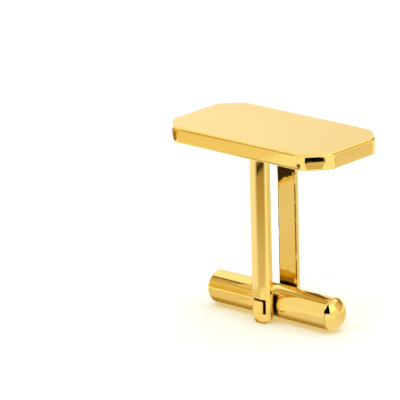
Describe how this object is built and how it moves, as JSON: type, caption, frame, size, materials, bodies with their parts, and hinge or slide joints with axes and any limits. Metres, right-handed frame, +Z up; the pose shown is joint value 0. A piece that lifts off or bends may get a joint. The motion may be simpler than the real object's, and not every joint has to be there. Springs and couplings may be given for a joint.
{
  "type": "cufflink",
  "caption": "Polished gold cufflink: plain oblong face with cut corners on a forked shank, and a domed swivel bar that clicks round a square pin to hold a shirt cuff.",
  "frame": {"origin": "on the floor under the middle of the bar, where the cufflink stands on the ends of its arms", "axes": "+Z up from the bar to the face, +X along the face and the closed bar, +Y along the pin from the front arm to the rear arm"},
  "size_m": [0.0208, 0.011, 0.0198],
  "materials": {
    "face_gold": "mirror-polished yellow gold plate",
    "shank_gold": "polished yellow gold plate",
    "bar_gold": "polished yellow gold plate",
    "spring_steel": "bright rolled spring strip"
  },
  "bodies": {
    "face_and_shank": {"face_plate": "face_gold", "front_arm": "shank_gold", "rear_arm": "shank_gold", "pivot_pin": "shank_gold"},
    "swivel_bar": {"toggle_barrel": "bar_gold", "left_end_cap": "bar_gold", "right_end_cap": "bar_gold", "spring_clip": "spring_steel"}
  },
  "joints": [
    {"name": "bar_swivel", "type": "hinge", "parent": "face_and_shank", "child": "swivel_bar", "pos_m": [0, 0, 0.00183], "axis": [0, 1, 0], "continuous": true, "deforming": ["spring_clip"]}
  ]
}
